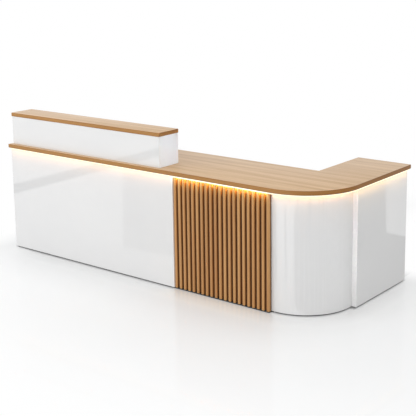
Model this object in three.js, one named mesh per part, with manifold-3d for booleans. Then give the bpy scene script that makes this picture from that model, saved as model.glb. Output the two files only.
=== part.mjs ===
// L-shaped reception desk: a counter with one rounded corner on white panels and oak slats, a raised
// visitor ledge, a light strip under the counter's edge, a filing pedestal and a cupboard for the staff.
// Millimetres, +Z up. X runs along the visitor side, from left to right. Y runs from visitor to staff.
import * as THREE from "three";
import { mergeVertices } from "three/addons/utils/BufferGeometryUtils.js";
import Module from "manifold-3d";

const wasm = await Module();
wasm.setup();

// Counter
const overallLength = 2940;
const mainDepth = 605;
const returnLength = 1140; // from the counter's front edge to the far end of the return
const returnWidth = 420;
const counterHeight = 850;
const counterThickness = 28;
const cornerRadius = 410;

// Boards and gaps
const panelThickness = 24;
const returnPanelThickness = 36;
const boardThickness = 18;
const glueLine = 0.3; // left between two pieces that are fixed to each other
const floorGap = 8; // shadow gap under the panels
const panelSetback = 16; // white panels behind the counter's front and right edges
const leftSetback = 14; // panels in from the counter's left end
const farSetback = 20; // panels in from the far end of the return
const staffSetback = 20; // doors, drawers and end panel behind the counter's staff edge

// Visitor front
const frontPanelLength = 1686;
const slatCount = 21;
const slatWidth = 22;
const slatDepth = 18;
const slatRadius = 6;
const slatEndGap = 2; // from the first slat to the front panel
const slatRowGap = 20; // from the last slat to the start of the rounded corner
const backingLap = 60; // of the slats' backing board behind the front panel
const cornerPanelThickness = 15;
const cornerPanelLap = 60; // of the curved panel behind the slats' backing board
const cornerPanelTail = 60; // of the curved panel behind the return panel
const cornerPanelStraight = 25; // of the curved panel after its bend, seen before the return panel

// Raised ledge on the counter
const ledgeLength = 1555;
const ledgeDepth = 210;
const ledgeHeight = 250; // above the counter
const ledgeCapThickness = 28;
const ledgeCapOverhang = 3;
const ledgeFrontSetback = 32;
const ledgeEndSetback = 18;

// Plinth strips in the shadow gap
const plinthRecess = 10; // behind the panel's face
const plinthWidth = 30;
const returnPlinthWidth = 22;

// Light strip under the counter's edge
const lightInset = 1.5;
const lightChannelWidth = 12;
const lightChannelThickness = 2;
const lightLensWidth = 10;
const lightLensHeight = 8;
const driverLength = 180;
const driverWidth = 42;
const driverHeight = 28;
const driverEar = 20;
const driverEarThickness = 2;
const driverCornerGap = 20; // from the driver to the start of the rounded corner
const driverFrontGap = 40; // from the slats' backing board to the driver

// Filing pedestal
const pedestalStart = 1130;
const pedestalWidth = 420;
const frontGap = 3; // round each drawer front
const drawerNames = ["lower", "upper"];
const drawerBoxHeight = 290;
const drawerRearGap = 32; // from the front panel to the drawer box
const drawerWall = 12;
const drawerFloor = 10;
const drawerFloorRise = 35; // of the box above its front's lower edge
const runnerSpace = 13; // between the drawer box and the pedestal's side
const runnerLedge = 11; // under the drawer box
const runnerHeight = 35;
const runnerThickness = 2;
const runnerRearGap = 30; // from the front panel to the runner
const runnerFrontGap = 30; // from the runner to the staff edge of the pedestal's side

// Cupboard in the return
const cupboardGap = 35; // from the counter's staff edge to the cupboard
const doorGap = 2.5; // beside the door
const doorClearance = 4; // above and below the door
const shelfHeight = 420;
const shelfSetback = 8; // behind the door
const pivotRadius = 4;
const pivotLength = 18;
const pivotFlangeRadius = 10;
const pivotFlangeThickness = 2.5;
const pivotPlay = 0.3;

// Pulls
const pullLength = 160;
const pullReach = 28;
const pullBar = 8;
const pullLeg = 10;
const pullHeight = 10;
const pullRadius = 5;
const pullDrop = 70; // from the top of a drawer front to its pull
const doorPullInset = 45; // from the door's free edge to its pull
const doorPullDrop = 200; // from the door's top to the pull's middle

// Segments on a round stretch
const cornerSegments = 28;
const smallSegments = 6;
const roundSegments = 24;

// Levels and lines that several pieces share
const underside = counterHeight - counterThickness;
const panelTop = underside - glueLine;
const cornerStart = overallLength - cornerRadius;
const carcassInset = panelSetback + panelThickness + glueLine;
const cornerInset = panelSetback + returnPanelThickness + glueLine;
const backingThickness = cornerInset - glueLine - carcassInset;
const frontPanelEnd = leftSetback + frontPanelLength;
const staffLine = mainDepth - staffSetback;
const returnPanelStart = cornerRadius + cornerPanelStraight;
const returnFar = returnLength - farSetback;
const returnCarcass = overallLength - cornerInset;
const doorFace = overallLength - returnWidth + staffSetback;
const baseTop = floorGap + boardThickness;

// Finishes
const gloss = { color: 0xf2f2f0, roughness: 0.08, metalness: 0 };
const oak = { color: 0xd2ab7c, roughness: 0.38, metalness: 0 };
const slatOak = { color: 0xb8854f, roughness: 0.5, metalness: 0 };
const backing = { color: 0x4a2a17, roughness: 0.8, metalness: 0 };
const whiteBoard = { color: 0xe9e9e6, roughness: 0.45, metalness: 0 };
const darkPlinth = { color: 0x2b2b2c, roughness: 0.6, metalness: 0 };
const aluminium = { color: 0xb9bbbd, roughness: 0.35, metalness: 1 };
const steel = { color: 0xa9abad, roughness: 0.4, metalness: 1 };
const lens = { color: 0xfff1d6, roughness: 0.4, metalness: 0, emissive: 0xffd9a0 };
const driverCase = { color: 0xd8d8d6, roughness: 0.5, metalness: 0 };

const desk = new THREE.Group();
desk.name = "reception_desk";
desk.position.set(-overallLength / 2, -returnLength / 2, 0);

// Adds one named piece to the desk.
function piece(name, geometry, finish) {
  const mesh = new THREE.Mesh(geometry, new THREE.MeshStandardMaterial(finish));
  mesh.name = name;
  desk.add(mesh);
  return mesh;
}

// A board between two corners.
function board(name, low, high, finish) {
  const size = high.map((value, axis) => value - low[axis]);
  const mesh = piece(name, new THREE.BoxGeometry(...size), finish);
  mesh.position.set(...low.map((value, axis) => value + size[axis] / 2));
  return mesh;
}

// A plan outline raised from one level to another.
function raised(name, outline, bottom, top, finish, segments = smallSegments) {
  const mesh = piece(name, extruded(outline, top - bottom, segments), finish);
  mesh.position.z = bottom;
  return mesh;
}

function extruded(outline, depth, segments) {
  return new THREE.ExtrudeGeometry(outline, { depth, curveSegments: segments, bevelEnabled: false });
}

function solidOf(geometry) {
  const bare = geometry.clone();
  bare.deleteAttribute("normal");
  bare.deleteAttribute("uv");
  const merged = mergeVertices(bare);
  return new wasm.Manifold(
    new wasm.Mesh({
      numProp: 3,
      vertProperties: merged.attributes.position.array,
      triVerts: new Uint32Array(merged.index.array),
    }),
  );
}

function geometryOf(solid) {
  const mesh = solid.getMesh();
  const geometry = new THREE.BufferGeometry();
  geometry.setAttribute("position", new THREE.BufferAttribute(mesh.vertProperties, 3));
  geometry.setIndex(new THREE.BufferAttribute(mesh.triVerts, 1));
  geometry.computeVertexNormals();
  return geometry;
}

// The plan of a strip that follows the counter's front edge from startX, its rounded corner, and its
// right edge as far as endY, between two distances in from the edge.
function edgeStrip(outerInset, innerInset, startX, endY) {
  const outline = new THREE.Shape();
  const right = -Math.PI / 2;
  outline.moveTo(startX, outerInset);
  outline.lineTo(cornerStart, outerInset);
  outline.absarc(cornerStart, cornerRadius, cornerRadius - outerInset, right, 0, false);
  outline.lineTo(overallLength - outerInset, endY);
  outline.lineTo(overallLength - innerInset, endY);
  outline.lineTo(overallLength - innerInset, cornerRadius);
  outline.absarc(cornerStart, cornerRadius, cornerRadius - innerInset, 0, right, true);
  outline.lineTo(startX, innerInset);
  return outline;
}

// Counter: one L-shaped board with a rounded outer corner.
function makeCounter() {
  const outline = new THREE.Shape();
  outline.moveTo(0, 0);
  outline.lineTo(cornerStart, 0);
  outline.absarc(cornerStart, cornerRadius, cornerRadius, -Math.PI / 2, 0, false);
  outline.lineTo(overallLength, returnLength);
  outline.lineTo(overallLength - returnWidth, returnLength);
  outline.lineTo(overallLength - returnWidth, mainDepth);
  outline.lineTo(0, mainDepth);
  raised("worktop", outline, underside, counterHeight, oak, cornerSegments);
}

// White panels on the visitor side, and the desk's two end panels.
function makePanels() {
  const front = [leftSetback, panelSetback, floorGap];
  board("front_panel", front, [frontPanelEnd, panelSetback + panelThickness, panelTop], gloss);

  const leftEnd = [leftSetback, carcassInset, floorGap];
  board("left_end_panel", leftEnd, [leftSetback + panelThickness, staffLine, panelTop], gloss);

  const curve = edgeStrip(
    cornerInset,
    cornerInset + cornerPanelThickness,
    cornerStart - cornerPanelLap,
    returnPanelStart + cornerPanelTail,
  );
  raised("corner_panel", curve, floorGap, panelTop, gloss, cornerSegments);

  const outerFace = overallLength - panelSetback;
  const returnLow = [outerFace - returnPanelThickness, returnPanelStart, floorGap];
  board("return_panel", returnLow, [outerFace, returnFar, panelTop], gloss);

  const farLow = [doorFace, returnFar - boardThickness, floorGap];
  board("return_end_panel", farLow, [returnCarcass, returnFar, panelTop], gloss);
}

// Oak slats with rounded front edges, fixed to a dark backing board.
function makeSlats() {
  const backingLow = [frontPanelEnd - backingLap, carcassInset, floorGap];
  const backingHigh = [cornerStart - slatRowGap, carcassInset + backingThickness, panelTop];
  board("slat_backing", backingLow, backingHigh, backing);

  const half = slatWidth / 2;
  const back = carcassInset - glueLine;
  const roundY = back - slatDepth + slatRadius;
  const first = frontPanelEnd + slatEndGap + half;
  const last = cornerStart - slatRowGap - half;
  for (let i = 0; i < slatCount; i++) {
    const middle = first + ((last - first) * i) / (slatCount - 1);
    const outline = new THREE.Shape();
    outline.moveTo(middle - half, back);
    outline.lineTo(middle - half, roundY);
    outline.absarc(middle - half + slatRadius, roundY, slatRadius, Math.PI, 1.5 * Math.PI, false);
    outline.absarc(middle + half - slatRadius, roundY, slatRadius, 1.5 * Math.PI, 2 * Math.PI, false);
    outline.lineTo(middle + half, back);
    const number = String(i + 1).padStart(2, "0");
    raised(`slat_${number}`, outline, floorGap, panelTop, slatOak);
  }
}

// Raised visitor ledge: an open-backed box on the counter under an oak cap.
function makeLedge() {
  const capLeft = ledgeEndSetback;
  const capRight = capLeft + ledgeLength;
  const capFront = ledgeFrontSetback;
  const capBack = capFront + ledgeDepth;
  const top = counterHeight + ledgeHeight;
  const capBottom = top - ledgeCapThickness;
  board("ledge_cap", [capLeft, capFront, capBottom], [capRight, capBack, top], oak);

  const left = capLeft + ledgeCapOverhang;
  const right = capRight - ledgeCapOverhang;
  const front = capFront + ledgeCapOverhang;
  const back = capBack - ledgeCapOverhang;
  const low = counterHeight + glueLine;
  const high = capBottom - glueLine;
  const frontBack = front + boardThickness;
  board("ledge_front_panel", [left, front, low], [right, frontBack, high], gloss);

  const middle = (left + right - boardThickness) / 2;
  const uprights = { ledge_left_end: left, ledge_divider: middle, ledge_right_end: right - boardThickness };
  for (const [name, start] of Object.entries(uprights)) {
    board(name, [start, frontBack + glueLine, low], [start + boardThickness, back, high], gloss);
  }
}

// Dark strips that carry the panels and stand on the floor, set back in the shadow gap.
function makePlinths() {
  const top = floorGap - glueLine;
  const frontLine = panelSetback + plinthRecess;
  const frontBack = frontLine + plinthWidth;
  const leftLine = leftSetback + plinthRecess;
  board("plinth_front", [leftLine, frontLine, 0], [cornerStart - glueLine, frontBack, top], darkPlinth);

  const leftHigh = [leftLine + plinthWidth, staffLine - plinthRecess, top];
  board("plinth_left", [leftLine, frontBack + glueLine, 0], leftHigh, darkPlinth);

  const cornerLine = cornerInset + plinthRecess;
  const tailEnd = returnPanelStart + cornerPanelTail;
  const curve = edgeStrip(cornerLine, cornerLine + plinthWidth, cornerStart, tailEnd);
  raised("plinth_corner", curve, 0, top, darkPlinth, cornerSegments);

  const returnLine = overallLength - panelSetback - plinthRecess;
  const returnLow = [returnLine - returnPlinthWidth, returnPanelStart + plinthRecess, 0];
  board("plinth_return", returnLow, [returnLine, returnFar - plinthRecess, top], darkPlinth);
}

// Light strip: an aluminium channel under the counter's edge, its opal lens, and the driver.
function makeLight() {
  const channelTop = underside - glueLine;
  const channelBottom = channelTop - lightChannelThickness;
  const channelInner = lightInset + lightChannelWidth;
  const channel = edgeStrip(lightInset, channelInner, leftSetback, returnFar);
  raised("light_channel", channel, channelBottom, channelTop, aluminium, cornerSegments);

  const lensInset = lightInset + (lightChannelWidth - lightLensWidth) / 2;
  const lensTop = channelBottom - glueLine;
  const opal = edgeStrip(lensInset, lensInset + lightLensWidth, leftSetback, returnFar);
  raised("light_lens", opal, lensTop - lightLensHeight, lensTop, lens, cornerSegments);

  const ears = new THREE.BoxGeometry(driverLength + 2 * driverEar, driverWidth, driverEarThickness);
  const body = new THREE.BoxGeometry(driverLength, driverWidth, driverHeight);
  body.translate(0, 0, (driverEarThickness - driverHeight) / 2);
  const driver = piece("light_driver", geometryOf(solidOf(ears).add(solidOf(body))), driverCase);
  driver.position.set(
    cornerStart - driverCornerGap - driverEar - driverLength / 2,
    carcassInset + backingThickness + driverFrontGap + driverWidth / 2,
    underside - glueLine - driverEarThickness / 2,
  );
}

// A bar pull with two legs. Its length runs along X, and it stands out along +Y.
function pullGeometry() {
  const half = pullLength / 2;
  const outline = new THREE.Shape();
  outline.moveTo(-half, 0);
  outline.lineTo(-half + pullLeg, 0);
  outline.lineTo(-half + pullLeg, pullReach - pullBar);
  outline.lineTo(half - pullLeg, pullReach - pullBar);
  outline.lineTo(half - pullLeg, 0);
  outline.lineTo(half, 0);
  outline.absarc(half - pullRadius, pullReach - pullRadius, pullRadius, 0, Math.PI / 2, false);
  outline.absarc(-half + pullRadius, pullReach - pullRadius, pullRadius, Math.PI / 2, Math.PI, false);
  const bar = extruded(outline, pullHeight, smallSegments);
  bar.translate(0, 0, -pullHeight / 2);
  return bar;
}

// Filing pedestal: two sides and a base, with two drawers that run on ledges fixed to the sides.
function makePedestal() {
  const right = pedestalStart + pedestalWidth;
  const innerLeft = pedestalStart + boardThickness;
  const innerRight = right - boardThickness;
  const frontFace = staffLine;
  const frontBack = frontFace - boardThickness;
  const sideEnd = frontBack - frontGap;
  const runnerEnd = sideEnd - runnerFrontGap;
  for (const [name, start] of Object.entries({ left: pedestalStart, right: innerRight })) {
    const low = [start, carcassInset, floorGap];
    board(`pedestal_${name}_side`, low, [start + boardThickness, sideEnd, panelTop], whiteBoard);
  }
  const baseLow = [innerLeft + glueLine, carcassInset + plinthWidth, 0];
  board("pedestal_base", baseLow, [innerRight - glueLine, sideEnd, baseTop], whiteBoard);

  const frontsLow = baseTop;
  const frontsHigh = panelTop - frontGap;
  const step = (frontsHigh - frontsLow) / drawerNames.length;
  drawerNames.forEach((drawer, index) => {
    const low = frontsLow + index * step + frontGap;
    const high = frontsLow + (index + 1) * step;
    const frontLow = [pedestalStart + frontGap / 2, frontBack, low];
    board(`drawer_${drawer}_front`, frontLow, [right - frontGap / 2, frontFace, high], whiteBoard);
    makeDrawerBox(drawer, innerLeft + runnerSpace, innerRight - runnerSpace, frontBack, low);
    makeRunners(drawer, innerLeft, innerRight, runnerEnd, low + drawerFloorRise);

    const pull = piece(`drawer_${drawer}_pull`, pullGeometry(), steel);
    pull.position.set((pedestalStart + right) / 2, frontFace + glueLine, high - pullDrop);
  });
}

function makeDrawerBox(drawer, left, right, frontBack, frontLow) {
  const width = right - left;
  const rear = carcassInset + drawerRearGap;
  const length = frontBack - glueLine - rear;
  const outer = new THREE.BoxGeometry(width, length, drawerBoxHeight);
  const inside = new THREE.BoxGeometry(width - 2 * drawerWall, length - 2 * drawerWall, drawerBoxHeight);
  inside.translate(0, 0, drawerFloor);
  const box = piece(`drawer_${drawer}_box`, geometryOf(solidOf(outer).subtract(solidOf(inside))), whiteBoard);
  box.position.set(
    (left + right) / 2,
    rear + length / 2,
    frontLow + drawerFloorRise + drawerBoxHeight / 2,
  );
}

// An angle on each side of the pedestal, whose ledge carries the lower edge of the drawer box.
function makeRunners(drawer, innerLeft, innerRight, far, boxBottom) {
  const ledgeTop = boxBottom - glueLine;
  const ledgeReach = runnerSpace + runnerLedge - glueLine;
  const outline = new THREE.Shape();
  outline.moveTo(0, 0);
  outline.lineTo(ledgeReach, 0);
  outline.lineTo(ledgeReach, runnerThickness);
  outline.lineTo(runnerThickness, runnerThickness);
  outline.lineTo(runnerThickness, runnerHeight);
  outline.lineTo(0, runnerHeight);
  const near = carcassInset + runnerRearGap;
  const sides = { left: [innerLeft + glueLine, near], right: [innerRight - glueLine, far] };
  for (const [side, [x, y]] of Object.entries(sides)) {
    const angle = extruded(outline, far - near, smallSegments);
    angle.rotateX(Math.PI / 2);
    angle.translate(0, far - near, 0);
    if (side === "right") angle.rotateZ(Math.PI);
    const runner = piece(`drawer_${drawer}_runner_${side}`, angle, steel);
    runner.position.set(x, y, ledgeTop - runnerThickness);
  }
}

// Cupboard in the return: a side, a base, a shelf and a door that turns on two pivots.
function makeCupboard() {
  const sideStart = mainDepth + cupboardGap;
  const sideEnd = sideStart + boardThickness;
  const clearStart = sideEnd + glueLine;
  const clearEnd = returnFar - boardThickness - glueLine;
  const back = returnCarcass - glueLine;
  board("cupboard_side", [doorFace, sideStart, floorGap], [back, sideEnd, panelTop], whiteBoard);
  board("cupboard_base", [doorFace, clearStart, 0], [back, clearEnd, baseTop], whiteBoard);

  const shelfLow = [doorFace + boardThickness + shelfSetback, clearStart, shelfHeight - boardThickness];
  board("cupboard_shelf", shelfLow, [back, clearEnd, shelfHeight], whiteBoard);

  makeDoor(clearStart + doorGap, clearEnd - doorGap);
}

function makeDoor(freeEdge, hingeEdge) {
  const bottom = baseTop + doorClearance;
  const top = panelTop - doorClearance;
  const half = boardThickness / 2;
  const pivotX = doorFace + half;
  const pivotY = hingeEdge - half;
  const outline = new THREE.Shape();
  outline.moveTo(doorFace, freeEdge);
  outline.lineTo(doorFace + boardThickness, freeEdge);
  outline.absarc(pivotX, pivotY, half, 0, Math.PI, false);
  let leaf = solidOf(extruded(outline, top - bottom, roundSegments));
  const boreRadius = pivotRadius + pivotPlay;
  const boreDepth = pivotLength + pivotPlay;
  for (const level of [0, top - bottom]) {
    const bore = new THREE.CylinderGeometry(boreRadius, boreRadius, 2 * boreDepth, roundSegments);
    bore.rotateX(Math.PI / 2);
    bore.translate(pivotX, pivotY, level);
    leaf = leaf.subtract(solidOf(bore));
  }
  piece("cupboard_door", geometryOf(leaf), whiteBoard).position.z = bottom;

  const tip = doorClearance - glueLine + pivotLength;
  const profile = [
    new THREE.Vector2(0, 0),
    new THREE.Vector2(pivotFlangeRadius, 0),
    new THREE.Vector2(pivotFlangeRadius, pivotFlangeThickness),
    new THREE.Vector2(pivotRadius, pivotFlangeThickness),
    new THREE.Vector2(pivotRadius, tip),
    new THREE.Vector2(0, tip),
  ];
  const ends = { lower: [Math.PI / 2, baseTop + glueLine], upper: [-Math.PI / 2, underside - glueLine] };
  for (const [end, [turn, level]] of Object.entries(ends)) {
    const pivot = new THREE.LatheGeometry(profile, roundSegments);
    pivot.rotateX(turn);
    piece(`door_pivot_${end}`, pivot, steel).position.set(pivotX, pivotY, level);
  }

  const pull = piece("cupboard_door_pull", pullGeometry(), steel);
  pull.rotation.set(Math.PI / 2, 0, Math.PI / 2);
  pull.position.set(doorFace - glueLine, freeEdge + doorPullInset, top - doorPullDrop);
}

makeCounter();
makePanels();
makeSlats();
makeLedge();
makePlinths();
makeLight();
makePedestal();
makeCupboard();

export default desk;
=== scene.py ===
import math

import bmesh
import bpy
from mathutils import Matrix, Vector


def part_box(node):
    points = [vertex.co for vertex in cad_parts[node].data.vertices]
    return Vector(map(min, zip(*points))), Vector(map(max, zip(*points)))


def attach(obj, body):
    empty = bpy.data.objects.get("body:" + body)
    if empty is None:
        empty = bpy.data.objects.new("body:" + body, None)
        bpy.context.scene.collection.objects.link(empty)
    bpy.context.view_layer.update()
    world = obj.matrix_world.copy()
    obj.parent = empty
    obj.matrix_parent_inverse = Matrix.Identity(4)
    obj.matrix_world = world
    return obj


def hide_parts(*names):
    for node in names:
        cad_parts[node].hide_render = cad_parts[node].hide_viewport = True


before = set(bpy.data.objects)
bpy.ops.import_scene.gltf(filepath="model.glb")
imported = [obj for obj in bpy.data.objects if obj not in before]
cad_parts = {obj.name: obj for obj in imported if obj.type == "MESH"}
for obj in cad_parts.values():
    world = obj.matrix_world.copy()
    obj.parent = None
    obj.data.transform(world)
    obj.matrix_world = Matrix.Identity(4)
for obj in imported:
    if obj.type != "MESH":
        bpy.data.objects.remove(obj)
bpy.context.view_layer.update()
scene = bpy.context.scene
scene.view_settings.view_transform = "Standard"

MM = 0.001
DESK = "desk"
DOOR = "door"
DRAWERS = ["drawer_upper", "drawer_lower"]
SLATS = sorted(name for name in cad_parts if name.startswith("slat_") and name[-2:].isdigit())

# Lines of the counter's plan, and of what stands under it
LEFT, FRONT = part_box("worktop")[0][:2]
RIGHT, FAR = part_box("worktop")[1][:2]
MAIN_DEPTH = 605 * MM
RETURN_WIDTH = 420 * MM
CORNER_RADIUS = 410 * MM
STAFF_EDGE = FRONT + MAIN_DEPTH
RETURN_INNER = RIGHT - RETURN_WIDTH
CORNER_MIDDLE = Vector((RIGHT - CORNER_RADIUS, FRONT + CORNER_RADIUS))
CORNER_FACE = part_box("corner_panel")[0][1] - FRONT  # of the curved panel, behind the counter's edge
PANEL_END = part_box("front_panel")[1][0]
SLATS_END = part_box("slat_backing")[1][0]
SLAT_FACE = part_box(SLATS[0])[0][1]


# Node helpers


def feed(tree, socket, value):
    """Gives an input another node's output or a plain value. A plain colour comes without its alpha."""
    if isinstance(value, bpy.types.NodeSocket):
        tree.links.new(value, socket)
    elif socket.type == "RGBA":
        socket.default_value = (*value, 1.0)
    else:
        socket.default_value = value


def add_node(tree, kind, sockets=None, **settings):
    """A new node with its settings, and with links or plain values on its inputs, by name or number."""
    node = tree.nodes.new(kind)
    for name, value in settings.items():
        setattr(node, name, value)
    for key, value in (sockets or {}).items():
        feed(tree, node.inputs[key], value)
    return node


def own_place(tree):
    """A point's place in the desk's frame, in metres."""
    return add_node(tree, "ShaderNodeTexCoord").outputs["Object"]


def parts_of(tree, vector):
    """The X, Y and Z of a vector."""
    return add_node(tree, "ShaderNodeSeparateXYZ", {"Vector": vector}).outputs


def stretched(tree, vector, scale):
    return add_node(tree, "ShaderNodeMapping", {"Vector": vector, "Scale": scale}).outputs["Vector"]


def noise(tree, vector, scale=1.0, detail=3.0, roughness=0.55, distortion=0.0):
    sockets = {"Vector": vector, "Scale": scale, "Detail": detail, "Roughness": roughness}
    sockets["Distortion"] = distortion
    return add_node(tree, "ShaderNodeTexNoise", sockets).outputs["Fac"]


def ramp(tree, factor, stops):
    """A colour that runs through the given colours at the given places."""
    node = add_node(tree, "ShaderNodeValToRGB", {"Fac": factor})
    elements = node.color_ramp.elements
    while len(elements) < len(stops):
        elements.new(0.5)
    for element, (place, colour) in zip(elements, stops):
        element.position = place
        element.color = (*colour, 1.0)
    return node.outputs["Color"]


def level(tree, value, low, high, to_low=0.0, to_high=1.0, smooth=False):
    """The value taken from one range to another, and held at its ends."""
    sockets = {"Value": value, "From Min": low, "From Max": high, "To Min": to_low, "To Max": to_high}
    kind = "SMOOTHSTEP" if smooth else "LINEAR"
    return add_node(tree, "ShaderNodeMapRange", sockets, interpolation_type=kind).outputs["Result"]


def stepped(tree, value, stops):
    """A number that runs through the given numbers at the given places."""
    low, high = stops[0][0], stops[-1][0]
    greys = [((place - low) / (high - low), (amount,) * 3) for place, amount in stops]
    return ramp(tree, level(tree, value, low, high), greys)


def maths(tree, operation, a, b):
    return add_node(tree, "ShaderNodeMath", {0: a, 1: b}, operation=operation).outputs["Value"]


def times(tree, a, b):
    return maths(tree, "MULTIPLY", a, b)


def largest(tree, first, *others):
    for other in others:
        first = maths(tree, "MAXIMUM", first, other)
    return first


def vector_maths(tree, operation, *vectors):
    node = add_node(tree, "ShaderNodeVectorMath", dict(enumerate(vectors)), operation=operation)
    return node.outputs["Value" if operation == "LENGTH" else "Vector"]


# A Mix node has inputs of one name for numbers, vectors and colours, so its colours go by number.
MIX_FACTOR, MIX_FIRST, MIX_SECOND, MIX_RESULT = 0, 6, 7, 2


def mixed(tree, factor, first, second, blend="MIX"):
    """Two colours mixed by a factor."""
    sockets = {MIX_FACTOR: factor, MIX_FIRST: first, MIX_SECOND: second}
    node = add_node(tree, "ShaderNodeMix", sockets, data_type="RGBA", blend_type=blend)
    return node.outputs[MIX_RESULT]


def blended(tree, factor, first, second):
    """The surfaces of two shader nodes mixed by a factor."""
    sockets = {"Fac": factor, 1: first.outputs[0], 2: second.outputs[0]}
    return add_node(tree, "ShaderNodeMixShader", sockets)


# Finishes


def new_finish(name):
    """A new material with its node tree and its shader."""
    material = bpy.data.materials.new(name)
    material.use_nodes = True
    tree = material.node_tree
    return material, tree, tree.nodes["Principled BSDF"]


def settle(tree, shader, values):
    """Gives a shader's inputs their links and plain values."""
    for name, value in values.items():
        feed(tree, shader.inputs[name], value)


def paint(tree, shader, pattern, low, high, rough, span=(0.3, 0.7)):
    """Colour and roughness that follow a pattern, from its low places to its high ones."""
    colour = ramp(tree, pattern, [(span[0], low), (span[1], high)])
    settle(tree, shader, {"Base Color": colour, "Roughness": level(tree, pattern, 0.3, 0.7, *rough)})


def bumped(tree, shader, height, distance, strength):
    bump = add_node(tree, "ShaderNodeBump", {"Height": height, "Distance": distance, "Strength": strength})
    settle(tree, shader, {"Normal": bump.outputs["Normal"]})


def oak_pattern(tree, along, light, dark, pore):
    """Straight-grained oak on a vector whose X runs along the grain, in metres."""
    broad = noise(tree, stretched(tree, along, (0.55, 16.0, 16.0)), distortion=0.35)
    along_lines = stretched(tree, along, (1.6, 95.0, 95.0))
    lines = noise(tree, along_lines, detail=4.0, roughness=0.6, distortion=0.2)
    fine = noise(tree, stretched(tree, along, (9.0, 620.0, 620.0)), detail=2.0, roughness=0.5)
    pores = noise(tree, stretched(tree, along, (26.0, 1500.0, 1500.0)), detail=1.0, roughness=0.5)
    blend = maths(tree, "ADD", times(tree, broad, 0.5), times(tree, lines, 0.36))
    blend = maths(tree, "ADD", blend, times(tree, fine, 0.14))
    middle = tuple((a + b) / 2 for a, b in zip(light, dark))
    colour = ramp(tree, blend, [(0.36, dark), (0.49, middle), (0.62, light)])
    open_pore = level(tree, pores, 0.63, 0.74)
    colour = mixed(tree, times(tree, open_pore, 0.45), colour, pore)
    return colour, blend, open_pore


FACE_MARK = -1.0  # height in the edge map on an oak board's faces
END_GRAIN = (0.72, 0.64, 0.52)  # darkens an edge that cuts across the grain
EDGE_STREAK = (0.23, 0.10, 0.026)
EDGE_LAYERS = [  # from an oak board's lower arris to its upper one
    (0.0, (0.36, 0.160, 0.043)), (0.2, (0.46, 0.228, 0.073)), (0.44, (0.53, 0.285, 0.104)),
    (0.52, (0.38, 0.180, 0.057)), (0.6, (0.53, 0.285, 0.104)), (0.8, (0.46, 0.228, 0.073)),
    (0.95, (0.42, 0.205, 0.066)),
]


def oak_top_finish():
    """Satin lacquered oak. The edge map holds how far an edge cuts across the grain, and its height."""
    material, tree, shader = new_finish("oak_top")
    grain = add_node(tree, "ShaderNodeUVMap", uv_map="grain").outputs["UV"]
    face, blend, open_pore = oak_pattern(
        tree, grain, light=(0.86, 0.59, 0.345), dark=(0.60, 0.368, 0.178), pore=(0.30, 0.16, 0.068)
    )
    edge = parts_of(tree, add_node(tree, "ShaderNodeUVMap", uv_map="edge").outputs["UV"])
    wander = noise(tree, stretched(tree, grain, (2.5, 30.0, 1.0)), detail=2.0)
    layer = maths(tree, "ADD", edge["Y"], level(tree, wander, 0.3, 0.7, -0.09, 0.09))
    layers = ramp(tree, layer, EDGE_LAYERS)
    layers = mixed(tree, level(tree, blend, 0.35, 0.65, 0.35, 0.0), layers, EDGE_STREAK)
    layers = mixed(tree, edge["X"], layers, END_GRAIN, "MULTIPLY")
    is_edge = maths(tree, "GREATER_THAN", edge["Y"], FACE_MARK / 2)
    colour = mixed(tree, is_edge, face, layers)
    settle(tree, shader, {"Base Color": colour, "Roughness": level(tree, blend, 0.3, 0.7, 0.42, 0.30)})
    bumped(tree, shader, maths(tree, "SUBTRACT", blend, open_pore), 0.12 * MM, 0.35)
    settle(tree, shader, {"Specular IOR Level": 0.16, "Coat Weight": 0.1, "Coat Roughness": 0.08})
    return material


SLAT_SHIFT = 7.0  # metres along the grain between the patterns of the lightest and the darkest slat
WARM_OAK = (0.47, 0.19, 0.05)
# Painted shade: the colour that the slats' sides turn to deeper in the grooves
GROOVE_SHADE_COLOUR = (0.17, 0.050, 0.011)
SHADE_FROM, SHADE_TO = 3 * MM, 12 * MM  # behind the slats' faces, between which the painted shade sets in
SHADE_END = (3 * MM, 1 * MM)  # before the last slat's outer side, which lies in no groove and is left without the painted shade


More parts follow.
